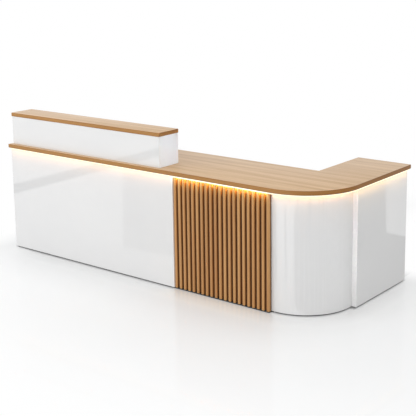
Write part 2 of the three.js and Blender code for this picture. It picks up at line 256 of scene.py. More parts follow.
def oak_slat_finish():
    """Oiled oak with upright grain. Each slat has its own tone, and painted shade darkens its sides into
    the grooves.
    """
    material, tree, shader = new_finish("oak_slat")
    place = own_place(tree)
    upright = add_node(tree, "ShaderNodeMapping", {"Vector": place, "Rotation": (0.0, math.pi / 2, 0.0)})
    tone = add_node(tree, "ShaderNodeAttribute", attribute_name="slat_tone").outputs["Fac"]
    shift = add_node(tree, "ShaderNodeCombineXYZ", {"X": times(tree, tone, SLAT_SHIFT)})
    along = vector_maths(tree, "ADD", upright.outputs["Vector"], shift.outputs["Vector"])
    colour, blend, open_pore = oak_pattern(
        tree, along, light=(0.64, 0.35, 0.128), dark=(0.44, 0.215, 0.07), pore=(0.20, 0.085, 0.028)
    )
    streak = noise(tree, stretched(tree, along, (1.6, 90.0, 90.0)), detail=2.0)
    warmth = level(tree, streak, 0.48, 0.66, 0.0, 0.34)
    warmth = maths(tree, "ADD", times(tree, tone, 0.32), warmth)
    colour = mixed(tree, warmth, colour, WARM_OAK)
    apart = parts_of(tree, place)
    outer_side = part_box(SLATS[-1])[1][0]
    # painted shade: the slats' sides darken with depth behind their faces, standing in for the shade in the
    # grooves
    groove_shade = level(tree, apart["Y"], SLAT_FACE + SHADE_FROM, SLAT_FACE + SHADE_TO, 0.0, 0.8)
    in_groove = level(tree, apart["X"], outer_side - SHADE_END[0], outer_side - SHADE_END[1], 1.0, 0.0)
    colour = mixed(tree, times(tree, groove_shade, in_groove), colour, GROOVE_SHADE_COLOUR)
    settle(tree, shader, {"Base Color": colour, "Roughness": level(tree, blend, 0.3, 0.7, 0.5, 0.38)})
    bumped(tree, shader, maths(tree, "SUBTRACT", blend, open_pore), 0.15 * MM, 0.4)
    settle(tree, shader, {"Coat Weight": 0.2, "Coat Roughness": 0.25})
    return material


SCUFF_LOW, SCUFF_HIGH = 10 * MM, 110 * MM  # scuffs thin out between these heights


def gloss_finish():
    """White lacquer polished to a mirror, with orange peel, wiped dust and scuffs near the floor."""
    material, tree, shader = new_finish("white_gloss")
    place = own_place(tree)
    cloud = noise(tree, place, 2.3)
    colour = ramp(tree, cloud, [(0.3, (0.80, 0.80, 0.80)), (0.7, (0.825, 0.824, 0.82))])
    wiped = noise(tree, stretched(tree, place, (3.0, 3.0, 9.0)), detail=5.0, roughness=0.6)
    scuffs = noise(tree, stretched(tree, place, (14.0, 14.0, 120.0)), detail=4.0, roughness=0.7)
    by_floor = level(tree, parts_of(tree, place)["Z"], SCUFF_LOW, SCUFF_HIGH, 0.2, 0.0)
    scuffed = times(tree, level(tree, scuffs, 0.55, 0.75), by_floor)
    rough = maths(tree, "ADD", level(tree, wiped, 0.35, 0.7, 0.03, 0.07), scuffed)
    bumped(tree, shader, noise(tree, place, 260.0, detail=1.0), 0.01 * MM, 0.15)
    values = {"Base Color": colour, "Roughness": rough, "Coat Weight": 1.0, "Coat Roughness": 0.02}
    settle(tree, shader, values)
    return material


def board_finish():
    """Satin white faced board with the fine pearl of a pressed surface."""
    material, tree, shader = new_finish("white_board")
    place = own_place(tree)
    cloud = noise(tree, place, 6.0, detail=4.0)
    paint(tree, shader, cloud, (0.74, 0.74, 0.73), (0.79, 0.79, 0.775), rough=(0.42, 0.5))
    bumped(tree, shader, noise(tree, place, 1400.0, detail=2.0), 0.05 * MM, 0.3)
    return material


def stained_finish():
    """Dark stained veneer with upright grain."""
    material, tree, shader = new_finish("dark_backing")
    grain = noise(tree, stretched(tree, own_place(tree), (90.0, 90.0, 2.0)), detail=4.0, roughness=0.6)
    paint(tree, shader, grain, (0.06, 0.021, 0.006), (0.12, 0.044, 0.013), (0.6, 0.75), span=(0.35, 0.65))
    bumped(tree, shader, grain, 0.1 * MM, 0.3)
    return material


def plinth_finish():
    """Matt dark strip with a little dust."""
    material, tree, shader = new_finish("dark_plinth")
    dust = noise(tree, own_place(tree), 35.0, detail=5.0, roughness=0.65)
    paint(tree, shader, dust, (0.022, 0.022, 0.023), (0.06, 0.059, 0.057), (0.5, 0.7), span=(0.35, 0.75))
    return material


def metal_finish(name, low, high, stretch, rough):
    """Metal brushed along one axis."""
    material, tree, shader = new_finish(name)
    brush = noise(tree, stretched(tree, own_place(tree), stretch), roughness=0.6)
    paint(tree, shader, brush, low, high, rough)
    bumped(tree, shader, brush, 0.02 * MM, 0.3)
    settle(tree, shader, {"Metallic": 1.0})
    return material


def lens_finish():
    """Opal cover over warm emitters, unevenly bright."""
    material, tree, shader = new_finish("opal_lens")
    cloud = noise(tree, own_place(tree), 60.0, detail=2.0)
    colour = ramp(tree, cloud, [(0.3, (0.42, 0.38, 0.28)), (0.7, (0.48, 0.44, 0.34))])
    glow = ramp(tree, cloud, [(0.3, (1.0, 0.89, 0.60)), (0.7, (1.0, 0.92, 0.66))])
    values = {"Base Color": colour, "Emission Color": glow, "Emission Strength": 0.95, "Roughness": 0.4}
    settle(tree, shader, values)
    return material


def case_finish():
    """Light grey moulded case with a fine grain."""
    material, tree, shader = new_finish("driver_case")
    grain = noise(tree, own_place(tree), 900.0, detail=2.0)
    paint(tree, shader, grain, (0.60, 0.60, 0.59), (0.66, 0.66, 0.64), rough=(0.45, 0.6))
    bumped(tree, shader, grain, 0.1 * MM, 0.4)
    return material


FINISH = {
    "oak_top": oak_top_finish(),
    "oak_slat": oak_slat_finish(),
    "white_gloss": gloss_finish(),
    "white_board": board_finish(),
    "dark_backing": stained_finish(),
    "dark_plinth": plinth_finish(),
    "aluminium": metal_finish(
        "aluminium", (0.56, 0.57, 0.58), (0.66, 0.67, 0.68), stretch=(4.0, 4.0, 900.0), rough=(0.28, 0.40)
    ),
    "steel": metal_finish(
        "steel", (0.42, 0.43, 0.44), (0.56, 0.57, 0.58), stretch=(6.0, 300.0, 900.0), rough=(0.25, 0.37)
    ),
    "opal_lens": lens_finish(),
    "driver_case": case_finish(),
}


# Mesh helpers


def in_scene(name, data):
    """A new object in the scene."""
    thing = bpy.data.objects.new(name, data)
    scene.collection.objects.link(thing)
    return thing


def show(name, mesh, slot, body, nodes=()):
    """Puts a finished mesh in the scene as one piece of the desk."""
    piece = in_scene(name, mesh)
    mesh.materials.clear()
    mesh.materials.append(FINISH[slot])
    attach(piece, body)
    if nodes:
        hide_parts(*nodes)


def to_mesh(shape, name):
    mesh = bpy.data.meshes.new(name)
    shape.to_mesh(mesh)
    shape.free()
    return mesh


MERGE = 0.001 * MM
MERGE_CAD = 0.01 * MM
FLAT_BELOW = math.radians(1)
SOFTEN_FROM = math.radians(35)


def softened(shape, width):
    """Rounds every sharp edge of a closed shape."""
    sharp = [e for e in shape.edges if len(e.link_faces) == 2 and e.calc_face_angle() > SOFTEN_FROM]
    bmesh.ops.bevel(
        shape, geom=sharp, offset=width, offset_type="OFFSET", segments=2, profile=0.5, affect="EDGES",
        clamp_overlap=True,
    )


def stacked(shape, rings):
    """A closed body through rings of corners, each anticlockwise from above, the lowest first.

    Returns its side faces, each with its number round the ring, and its two ends.
    """
    rows = [[shape.verts.new(corner) for corner in ring] for ring in rings]
    count = len(rows[0])
    sides = []
    for lower, upper in zip(rows, rows[1:]):
        for i in range(count):
            j = (i + 1) % count
            sides.append((i, shape.faces.new((lower[i], lower[j], upper[j], upper[i]))))
    return sides, [shape.faces.new(rows[0][::-1]), shape.faces.new(rows[-1])]


ARRIS_STEPS = 3
FLAT_FROM = 0.3 * MM  # a ring this far past an arris keeps the side flat


def lofted(shape, outline, bottom, top, arris):
    """A closed prism on an outline, which is a function of the inset, with rounded arrises."""
    turns = [math.pi / 2 * i / ARRIS_STEPS for i in range(ARRIS_STEPS + 1)]
    rounding = [(arris * (1 - math.sin(turn)), arris * (1 - math.cos(turn))) for turn in turns]
    rounding.append((0.0, arris + FLAT_FROM))
    levels = [(inset, bottom + rise) for inset, rise in rounding]
    levels += [(inset, top - rise) for inset, rise in reversed(rounding)]
    return stacked(shape, [[(*point, height) for point in outline(inset)] for inset, height in levels])


def tidy_mesh(mesh, sharp_from):
    """Merged, facing out, smooth over curves and sharp at edges."""
    shape = bmesh.new()
    shape.from_mesh(mesh)
    bmesh.ops.remove_doubles(shape, verts=shape.verts, dist=MERGE)
    bmesh.ops.recalc_face_normals(shape, faces=shape.faces)
    for face in shape.faces:
        face.smooth = True
    shape.to_mesh(mesh)
    shape.free()
    mesh.set_sharp_from_angle(angle=sharp_from)
    return mesh


def board(node, slot, body=DESK, edge=1.0 * MM):
    """A flat board with softened edges in the place of a CAD board."""
    low, high = (Vector(corner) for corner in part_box(node))
    shape = bmesh.new()
    bmesh.ops.create_cube(shape, size=1.0)
    bmesh.ops.transform(shape, verts=shape.verts, matrix=Matrix.Diagonal((*(high - low), 1.0)))
    bmesh.ops.translate(shape, verts=shape.verts, vec=(low + high) / 2)
    softened(shape, edge)
    show(f"{node}_shape", to_mesh(shape, node), slot, body, [node])


def formed(node, slot, body=DESK, edge=0.6 * MM):
    """A merged copy of a CAD solid with softened edges."""
    shape = bmesh.new()
    shape.from_mesh(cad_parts[node].data)
    bmesh.ops.remove_doubles(shape, verts=shape.verts, dist=MERGE_CAD)
    bmesh.ops.dissolve_limit(shape, angle_limit=FLAT_BELOW, verts=shape.verts, edges=shape.edges)
    softened(shape, edge)
    show(f"{node}_shape", to_mesh(shape, node), slot, body, [node])


# Counter and ledge cap


CORNER_STEPS = 96
OAK_ARRIS = 0.9 * MM
OAK_SHARP = math.radians(40)
EDGE_GRAIN_FROM = 2.0  # keeps the grain of the edges apart from that of the faces


def corner_arc(inset):
    """The counter's rounded corner, from the front edge to the right one, brought in by the inset."""
    turns = [-math.pi / 2 + math.pi / 2 * i / CORNER_STEPS for i in range(CORNER_STEPS + 1)]
    radius = CORNER_RADIUS - inset
    return [CORNER_MIDDLE + radius * Vector((math.cos(turn), math.sin(turn))) for turn in turns]


def counter_outline(inset):
    """The counter's plan, anticlockwise, brought in by the inset."""
    return [
        Vector((LEFT + inset, FRONT + inset)),
        *corner_arc(inset),
        Vector((RIGHT - inset, FAR - inset)),
        Vector((RETURN_INNER + inset, FAR - inset)),
        Vector((RETURN_INNER + inset, STAFF_EDGE - inset)),
        Vector((LEFT + inset, STAFF_EDGE - inset)),
    ]


def cap_outline(inset):
    """The ledge cap's plan, anticlockwise, brought in by the inset."""
    low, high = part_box("ledge_cap")
    left, front, right, back = low[0] + inset, low[1] + inset, high[0] - inset, high[1] - inset
    return [Vector(corner) for corner in ((left, front), (right, front), (right, back), (left, back))]


def oak_slab(node, outline):
    """An oak board with grain along X on its faces, and along its outline on its edge."""
    bottom, top = (corner[2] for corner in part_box(node))
    shape = bmesh.new()
    grain = shape.loops.layers.uv.new("grain")
    edge = shape.loops.layers.uv.new("edge")
    sides, ends = lofted(shape, outline, bottom, top, OAK_ARRIS)
    plan = outline(0.0)
    length = [0.0]
    across = []
    for here, there in zip(plan, plan[1:] + plan[:1]):
        step = there - here
        length.append(length[-1] + step.length)
        across.append(abs(step.y) / step.length)
    for i, face in sides:
        face.smooth = True
        for loop, along in zip(face.loops, (length[i], length[i + 1], length[i + 1], length[i])):
            loop[grain].uv = (along, loop.vert.co.z + EDGE_GRAIN_FROM)
            loop[edge].uv = (across[i], (loop.vert.co.z - bottom) / (top - bottom))
    for face in ends:
        for loop in face.loops:
            loop[grain].uv = loop.vert.co.xy
            loop[edge].uv = (0.0, FACE_MARK)
    bmesh.ops.triangulate(shape, faces=[face for face in ends if len(face.verts) > 4])
    mesh = to_mesh(shape, node)
    mesh.set_sharp_from_angle(angle=OAK_SHARP)
    show(f"{node}_shape", mesh, "oak_top", DESK, [node])


oak_slab("worktop", counter_outline)
oak_slab("ledge_cap", cap_outline)


# Boards, drawers and door


GLOSS_BOARDS = [
    "front_panel", "left_end_panel", "return_panel", "return_end_panel", "ledge_front_panel",
    "ledge_left_end", "ledge_divider", "ledge_right_end",
]
WHITE_BOARDS = [
    "pedestal_left_side", "pedestal_right_side", "pedestal_base", "cupboard_side", "cupboard_base",
    "cupboard_shelf",
]
PLINTH_STEP = 2 * MM  # from the front plinth's step to the last slat's outer side
PLINTH_BEHIND = 1 * MM  # from the curved panel's face to the plinth past the step


def front_plinth():
    """The front plinth, which steps back under the curved panel past the last slat."""
    low, high = (Vector(corner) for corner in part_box("plinth_front"))
    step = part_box(SLATS[-1])[1][0] - PLINTH_STEP
    back = FRONT + CORNER_FACE + PLINTH_BEHIND
    plan = [(low.x, low.y), (step, low.y), (step, back), (high.x, back), (high.x, high.y), (low.x, high.y)]
    shape = bmesh.new()
    stacked(shape, [[(x, y, height) for x, y in plan] for height in (low.z, high.z)])
    softened(shape, 0.5 * MM)
    show("plinth_front_shape", to_mesh(shape, "plinth_front"), "dark_plinth", DESK, ["plinth_front"])


for node in GLOSS_BOARDS:
    board(node, "white_gloss", edge=1.2 * MM)
for node in WHITE_BOARDS:
    board(node, "white_board")
board("slat_backing", "dark_backing")
for node in ["plinth_left", "plinth_return"]:
    board(node, "dark_plinth", edge=0.8 * MM)
for drawer in DRAWERS:
    board(f"{drawer}_front", "white_board", drawer)
    formed(f"{drawer}_box", "white_board", drawer)
    formed(f"{drawer}_pull", "steel", drawer)
    for side in ["left", "right"]:
        formed(f"{drawer}_runner_{side}", "steel", edge=0.3 * MM)
formed("cupboard_door", "white_board", DOOR, edge=0.8 * MM)
formed("cupboard_door_pull", "steel", DOOR)
for node in ["door_pivot_lower", "door_pivot_upper"]:
    formed(node, "steel", edge=0.3 * MM)
formed("light_driver", "driver_case", edge=0.8 * MM)
front_plinth()


# Geometry node trees


SOCKET_KINDS = {int: "NodeSocketInt", float: "NodeSocketFloat", tuple: "NodeSocketVector"}
ZERO = (0.0, 0.0, 0.0)


def new_tree(name, values):
    """An empty tree that takes a mesh, named values and a finish. Returns its two ends too."""
    tree = bpy.data.node_groups.new(name, "GeometryNodeTree")
    for in_out in ("INPUT", "OUTPUT"):
        tree.interface.new_socket("Geometry", in_out=in_out, socket_type="NodeSocketGeometry")
    for label, value in values.items():
        kind = SOCKET_KINDS[type(value)]
        tree.interface.new_socket(label, in_out="INPUT", socket_type=kind).default_value = value
    tree.interface.new_socket("Finish", in_out="INPUT", socket_type="NodeSocketMaterial")
    given = tree.nodes.new("NodeGroupInput").outputs
    return tree, given, tree.nodes.new("NodeGroupOutput").inputs["Geometry"]


def end_tree(tree, given, geometry, result):
    """Makes instances real and gives them the finish."""
    real = add_node(tree, "GeometryNodeRealizeInstances", {"Geometry": geometry})
    sockets = {"Geometry": real.outputs["Geometry"], "Material": given["Finish"]}
    feed(tree, result, add_node(tree, "GeometryNodeSetMaterial", sockets).outputs["Geometry"])


def run_tree(name, mesh, tree, values):
    """Evaluates the tree on a mesh with these input values and returns the plain mesh."""
    holder = in_scene(name, mesh)
    modifier = holder.modifiers.new("form", "NODES")
    modifier.node_group = tree
    for item in tree.interface.items_tree:
        if item.in_out == "INPUT" and item.name in values:
            modifier[item.identifier] = values[item.name]
    bpy.context.view_layer.update()
    evaluated = holder.evaluated_get(bpy.context.evaluated_depsgraph_get())
    result = bpy.data.meshes.new_from_object(evaluated)
    holder.modifiers.remove(modifier)
    bpy.data.objects.remove(holder)
    result.name = name
    return result


def slat_tree():
    """A row along X of the given bar. Each bar has its own tone."""
    tree, given, result = new_tree("slat_row", {"Count": 2, "Pitch": 0.04, "Seed": 1})
    step = add_node(tree, "ShaderNodeCombineXYZ", {"X": given["Pitch"]})
    sockets = {"Count": given["Count"], "Offset": step.outputs["Vector"]}
    row = add_node(tree, "GeometryNodeMeshLine", sockets)
    sockets = {"Points": row.outputs["Mesh"], "Instance": given["Geometry"]}
    bars = add_node(tree, "GeometryNodeInstanceOnPoints", sockets)
    tone = add_node(tree, "FunctionNodeRandomValue", {"Seed": given["Seed"]}, data_type="FLOAT")
    toned = add_node(
        tree, "GeometryNodeStoreNamedAttribute",
        {"Geometry": bars.outputs["Instances"], "Name": "slat_tone", "Value": tone.outputs[1]},
        data_type="FLOAT", domain="INSTANCE",
    )
    end_tree(tree, given, toned.outputs["Geometry"], result)
    return tree


def strip_tree():
    """A bar of rounded rectangular section that follows a path in plan."""
    tree, given, result = new_tree("edge_strip", {"Width": 0.01, "Height": 0.01, "Edge radius": 0.001})
    path = add_node(tree, "GeometryNodeMeshToCurve", {"Mesh": given["Geometry"]})
    level_path = add_node(tree, "GeometryNodeSetCurveNormal", {"Curve": path.outputs["Curve"]}, mode="Z_UP")
    sockets = {"Width": given["Width"], "Height": given["Height"]}
    section = add_node(tree, "GeometryNodeCurvePrimitiveQuadrilateral", sockets)
    sockets = {"Curve": section.outputs["Curve"], "Radius": given["Edge radius"], "Count": ARRIS_STEPS}
    rounded = add_node(tree, "GeometryNodeFilletCurve", sockets, mode="POLY")
    sockets = {"Curve": level_path.outputs["Curve"], "Profile Curve": rounded.outputs["Curve"]}
    sockets["Fill Caps"] = True
    swept = add_node(tree, "GeometryNodeCurveToMesh", sockets)
    end_tree(tree, given, swept.outputs["Mesh"], result)
    return tree


def row_tree():
    """A straight row of the given fitting, each one turned the same way."""
    tree, given, result = new_tree("fitting_row", {"Count": 1, "Start": ZERO, "Step": ZERO, "Turn": ZERO})
    sockets = {"Count": given["Count"], "Start Location": given["Start"], "Offset": given["Step"]}
    row = add_node(tree, "GeometryNodeMeshLine", sockets)
    turn = add_node(tree, "FunctionNodeEulerToRotation", {"Euler": given["Turn"]})
    sockets = {"Points": row.outputs["Mesh"], "Instance": given["Geometry"]}
    sockets["Rotation"] = turn.outputs["Rotation"]
    heads = add_node(tree, "GeometryNodeInstanceOnPoints", sockets)
    end_tree(tree, given, heads.outputs["Instances"], result)
    return tree


# Slats


SLAT_NOSE = 7.5 * MM
NOSE_STEPS = 6
SLAT_ARRIS = 2.0 * MM
SLAT_SEED = 4


def slat_outline(width, depth):
    """The plan of a slat with a rounded nose towards the visitor, as a function of the inset."""
    def outline(inset):
        half, radius = width / 2 - inset, SLAT_NOSE - inset
        front, back = -depth / 2 + inset, depth / 2 - inset
        points = [Vector((-half, back))]
        for side, first in ((-1, math.pi), (1, 1.5 * math.pi)):
            middle = Vector((side * (half - radius), front + radius))
            turns = [first + math.pi / 2 * i / NOSE_STEPS for i in range(NOSE_STEPS + 1)]
            points += [middle + radius * Vector((math.cos(turn), math.sin(turn))) for turn in turns]
        return points + [Vector((half, back))]
    return outline


def make_slats():
    low, high = (Vector(corner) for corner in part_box(SLATS[0]))
    size = high - low
    shape = bmesh.new()
    lofted(shape, slat_outline(size.x, size.y), 0.0, size.z, SLAT_ARRIS)
    pitch = (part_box(SLATS[-1])[0][0] - low.x) / (len(SLATS) - 1)
    values = {"Count": len(SLATS), "Pitch": pitch, "Seed": SLAT_SEED, "Finish": FINISH["oak_slat"]}
    mesh = run_tree("slats", to_mesh(shape, "slat"), slat_tree(), values)
    mesh.transform(Matrix.Translation(((low.x + high.x) / 2, (low.y + high.y) / 2, low.z)))
    show("slats_row", tidy_mesh(mesh, OAK_SHARP), "oak_slat", DESK, SLATS)


make_slats()


# Curved panel, its plinth, and the light strip


STRIP = strip_tree()
STRIP_SHARP = math.radians(15)


def edge_path(name, inset, height, start_x, end_y):
    """The counter's front edge, corner and right edge as a line of points, brought in by the inset."""
    points = [Vector((start_x, FRONT + inset))] if start_x < CORNER_MIDDLE.x - MERGE else []
    points += corner_arc(inset)
    if end_y > CORNER_MIDDLE.y + MERGE:
        points.append(Vector((RIGHT - inset, end_y)))
    mesh = bpy.data.meshes.new(name)
    mesh.from_pydata([(*p, height) for p in points], [(i, i + 1) for i in range(len(points) - 1)], [])
    return mesh


def edge_strip(node, slot, width, radius):
    """A strip along the counter's edge in the place of a CAD strip of the same section."""
    low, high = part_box(node)
    path = edge_path(node, low[1] - FRONT + width / 2, (low[2] + high[2]) / 2, low[0], high[1])
    values = {"Width": width, "Height": high[2] - low[2], "Edge radius": radius, "Finish": FINISH[slot]}
    mesh = run_tree(node, path, STRIP, values)
    show(f"{node}_shape", tidy_mesh(mesh, STRIP_SHARP), slot, DESK, [node])


edge_strip("corner_panel", "white_gloss", width=15 * MM, radius=0.8 * MM)
edge_strip("plinth_corner", "dark_plinth", width=30 * MM, radius=0.6 * MM)
edge_strip("light_channel", "aluminium", width=12 * MM, radius=0.3 * MM)
edge_strip("light_lens", "opal_lens", width=10 * MM, radius=2.5 * MM)


# Fittings


ROW = row_tree()
FITTING_SHARP = math.radians(35)
DRAWER_WALL = 12 * MM
PEG_RADIUS = 2.5 * MM
PEG_PLAY = 0.3 * MM
SCREW_RADIUS, SCREW_HEIGHT = 4.0 * MM, 1.8 * MM
SCREW_RECESS = math.radians(14)  # half of the turn that one arm of the recess takes
# Shares of the screw's radius on an arm of the recess and between two arms, and of its height
SCREW_RINGS = [
    (1, 1, 0), (1, 1, 0.4), (0.86, 0.86, 0.85), (0.64, 0.64, 1), (0.52, 0.18, 1), (0.46, 0.13, 0.35),
]
CAP_PROFILE = [(7.5 * MM, 0.0), (7.5 * MM, 0.4 * MM), (7.1 * MM, 0.9 * MM), (6.0 * MM, 1.1 * MM)]
PEG_PROFILE = [(PEG_RADIUS, 0.0), (PEG_RADIUS, 8 * MM), (2.0 * MM, 8.6 * MM)]
CAP_LOW = 48 * MM  # above the floor
CAP_HIGH = 24 * MM  # below the panels' top
CAP_IN, CAP_STEP = 50 * MM, 380 * MM  # from the visitor's end of the pedestal, and on to the second cap
CUPBOARD_CAP_IN, CUPBOARD_CAP_STEP = 60 * MM, 220 * MM
LEDGE_CAP_IN, LEDGE_CAP_UP, LEDGE_CAP_STEP = 60 * MM, 40 * MM, 140 * MM
PEG_IN = 40 * MM
DRAWER_SCREW_IN = 60 * MM
DRAWER_SCREW_LOW, DRAWER_SCREW_HIGH = 70 * MM, 50 * MM  # above the box's foot, below its top
PULL_SCREW_IN = 5 * MM
DRIVER_SCREW_IN = 9 * MM


def turned_form(name, profile, sides):
    """A round form that stands on the XY plane, from pairs of radius and height."""
    turns = [2 * math.pi * i / sides for i in range(sides)]
    shape = bmesh.new()
    stacked(shape, [[(r * math.cos(t), r * math.sin(t), z) for t in turns] for r, z in profile])
    return to_mesh(shape, name)


def screw_head():
    """A domed head with a cross recess, which stands on the XY plane."""
    arms = (-SCREW_RECESS, SCREW_RECESS, math.pi / 4)
    turns = [math.pi / 2 * quarter + turn for quarter in range(4) for turn in arms]
    rings = []
    for arm, between, rise in SCREW_RINGS:
        radii = [SCREW_RADIUS * share for share in (arm, arm, between) * 4]
        height = SCREW_HEIGHT * rise
        rings.append([(r * math.cos(t), r * math.sin(t), height) for r, t in zip(radii, turns)])
    shape = bmesh.new()
    stacked(shape, rings)
    return to_mesh(shape, "screw_head")


def fittings(name, head, slot, body, pairs):
    """Pairs of one fitting as one piece. A pair has a place, the step to the second, and a facing."""
    shape = bmesh.new()
    for start, step, facing in pairs:
        turn = tuple(Vector(facing).to_track_quat("Z", "Y").to_euler())
        values = {"Count": 2, "Start": start, "Step": step, "Turn": turn, "Finish": FINISH[slot]}
        shape.from_mesh(run_tree(name, head.copy(), ROW, values))
    show(name, tidy_mesh(to_mesh(shape, name), FITTING_SHARP), slot, body)


def side_of(node, facing):
    """Where the side of a board that faces right (1) or left (-1) lies."""
    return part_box(node)[1 if facing > 0 else 0][0]


def spaced(low, high, inset):
    """Where the first of two fittings sits between two ends, and how far on the second is."""
    return low + inset, high - low - 2 * inset


def cap_pairs():
    """Cover caps over the joining bolts of the staff side's boards and of the ledge's ends."""
    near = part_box("pedestal_base")[0][1] + CAP_IN
    left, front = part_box("cupboard_side")[0][:2]
    pairs = []
    for height in (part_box("front_panel")[1][2] - CAP_HIGH, CAP_LOW):
        for node, facing in (("pedestal_left_side", -1), ("pedestal_right_side", 1), ("left_end_panel", 1)):
            pairs.append(((side_of(node, facing), near, height), (0.0, CAP_STEP, 0.0), (facing, 0, 0)))
        pairs.append(((left + CUPBOARD_CAP_IN, front, height), (CUPBOARD_CAP_STEP, 0.0, 0.0), (0, -1, 0)))
    for node, facing in (("ledge_left_end", 1), ("ledge_right_end", -1)):
        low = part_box(node)[0]
        start = (side_of(node, facing), low[1] + LEDGE_CAP_IN, low[2] + LEDGE_CAP_UP)
        pairs.append((start, (0.0, 0.0, LEDGE_CAP_STEP), (facing, 0, 0)))
    return pairs


def peg_pairs():
    """Pegs under the cupboard's shelf, two at each end."""
    low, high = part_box("cupboard_shelf")
    first, step = spaced(low[0], high[0], PEG_IN)
    height = low[2] - PEG_RADIUS - PEG_PLAY
    near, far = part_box("cupboard_side")[1][1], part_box("return_end_panel")[0][1]
    ends = ((near, (0, 1, 0)), (far, (0, -1, 0)))
    return [((first, wall, height), (step, 0.0, 0.0), facing) for wall, facing in ends]


def drawer_pairs(drawer):
    """Screws that hold a drawer's front, from the inside of its box."""
    low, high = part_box(f"{drawer}_box")
    first, step = spaced(low[0], high[0], DRAWER_SCREW_IN)
    inside = high[1] - DRAWER_WALL
    heights = (low[2] + DRAWER_SCREW_LOW, high[2] - DRAWER_SCREW_HIGH)
    return [((first, inside, height), (step, 0.0, 0.0), (0, -1, 0)) for height in heights]


def door_pairs():
    """Screws that hold the door's pull, from the inside of the door."""
    low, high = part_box("cupboard_door_pull")
    first, step = spaced(low[2], high[2], PULL_SCREW_IN)
    return [((side_of("cupboard_door", 1), (low[1] + high[1]) / 2, first), (0.0, 0.0, step), (1, 0, 0))]


def driver_pairs():
    """Screws at both ends of the light's driver, under the counter."""
    low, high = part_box("light_driver")
    first, step = spaced(low[0], high[0], DRIVER_SCREW_IN)
    return [((first, (low[1] + high[1]) / 2, low[2]), (step, 0.0, 0.0), (0, 0, -1))]


SCREW = screw_head()
fittings("cover_caps", turned_form("cap", CAP_PROFILE, sides=24), "white_board", DESK, cap_pairs())
fittings("shelf_pegs", turned_form("peg", PEG_PROFILE, sides=12), "steel", DESK, peg_pairs())
fittings("driver_screws", SCREW, "steel", DESK, driver_pairs())
fittings("door_screws", SCREW, "steel", DOOR, door_pairs())
for drawer in DRAWERS:
    fittings(f"{drawer}_screws", SCREW, "steel", drawer, drawer_pairs(drawer))


# Floor and room


WHITE = (1.0, 1.0, 1.0)
COOL = (0.80, 1.0, 1.25)
WORLD_LIGHT = 0.715  # strength of the white room as a light; where it is seen, it is 1
FLOOR_HALF = 40.0
FLOOR_SENT = [(0.3, (0.86, 0.87, 0.88)), (0.7, (0.865, 0.875, 0.885))]  # colours of the light it sends on
FLOOR_SEEN = (0.735, 0.745, 0.750)  # colour where it is seen
FLOOR_OWN = 0.31  # light that the seen floor adds to what falls on it, away from the desk
FLOOR_CLOSE = [  # the same by the desk, along X
    (-1.47, 0.26), (-0.9, 0.22), (0.1, 0.23), (0.25, 0.26), (0.5, 0.29), (0.9, 0.28), (1.1, 0.25),
    (1.47, 0.27), (1.75, 0.31),
]
FLOOR_NEAR = 0.6  # reach of these from the desk
FLOOR_GLOSS = 6.7  # times the mirror of plain glass, times the share below
FLOOR_POLISH = [  # share by the distance from the desk
    (0.0, 0.30), (0.06, 0.21), (0.14, 0.13), (0.3, 0.10), (0.55, 0.08), (1.05, 0.07), (1.6, 0.04),
    (2.2, 0.02),
]
FLOOR_FADE = (1.2, 3.1)  # distances from the middle between which the floor turns white
FLOOR_FADE_STRETCH = (0.55, 1.0, 1.0)  # X counts for less in that distance
FLOOR_LEFT_FADE = (-1.5, -1.85)  # the same in X to the left of the desk
FLOOR_BACK_FADE = (0.5, 0.8)  # the same in Y behind the return
FLOOR_BACK_FROM = (0.0, 0.8)  # where in X the last one sets in
FLOOR_UNDER = 1 * MM  # behind the panels' faces, where the floor's own light ends
UNDER_FADE = 0.30  # outward from the corner's middle, the depth over which it ends


def hide_from(thing, *rays):
    """Makes an object unseen by these kinds of rays."""
    for kind in rays:
        setattr(thing, f"visible_{kind}", False)


def bare_finish(name):
    """A new material without a shader, with its node tree and the input that takes its surface."""
    material, tree, shader = new_finish(name)
    tree.nodes.remove(shader)
    return material, tree, tree.nodes["Material Output"].inputs["Surface"]


def seen_directly(tree):
    """1 where a surface is seen, straight or in a mirror or glass, and 0 for the light that it sends."""
    rays = add_node(tree, "ShaderNodeLightPath").outputs
    return largest(tree, rays["Is Camera Ray"], rays["Is Glossy Ray"], rays["Is Transmission Ray"])


def desk_distance(tree, place):
    """How far a point of the floor is from the desk's outline, a box with rounded corners."""
    core = (RIGHT - CORNER_RADIUS, FAR - CORNER_RADIUS, 0.0)
    beyond = vector_maths(tree, "SUBTRACT", vector_maths(tree, "ABSOLUTE", place), core)
    beyond = vector_maths(tree, "MAXIMUM", beyond, ZERO)
    return maths(tree, "SUBTRACT", vector_maths(tree, "LENGTH", beyond), CORNER_RADIUS)


def within(tree, value, low, high):
    above = maths(tree, "GREATER_THAN", value, low)
    return times(tree, above, maths(tree, "LESS_THAN", value, high))


